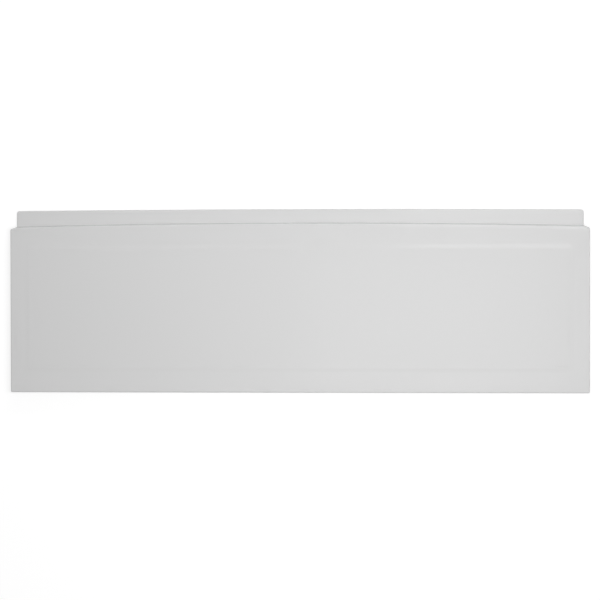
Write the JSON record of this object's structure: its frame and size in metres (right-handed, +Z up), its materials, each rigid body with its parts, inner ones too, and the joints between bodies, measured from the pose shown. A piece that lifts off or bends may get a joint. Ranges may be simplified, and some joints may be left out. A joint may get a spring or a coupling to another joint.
{
  "type": "bath panel",
  "caption": "Glossy white front panel for a bath, formed from one acrylic sheet, with turned-back edges and a set-back lip along the top that tucks behind the bath's rim.",
  "frame": {"origin": "under the middle of the panel, in the plane of the rim that it lies on", "axes": "+X along the panel, +Y from its foot to its lip, +Z up out of its face"},
  "size_m": [1.7, 0.5399, 0.03],
  "materials": {
    "white_acrylic": "gloss"
  },
  "bodies": {
    "root": {"bath_panel": "white_acrylic"}
  },
  "joints": []
}
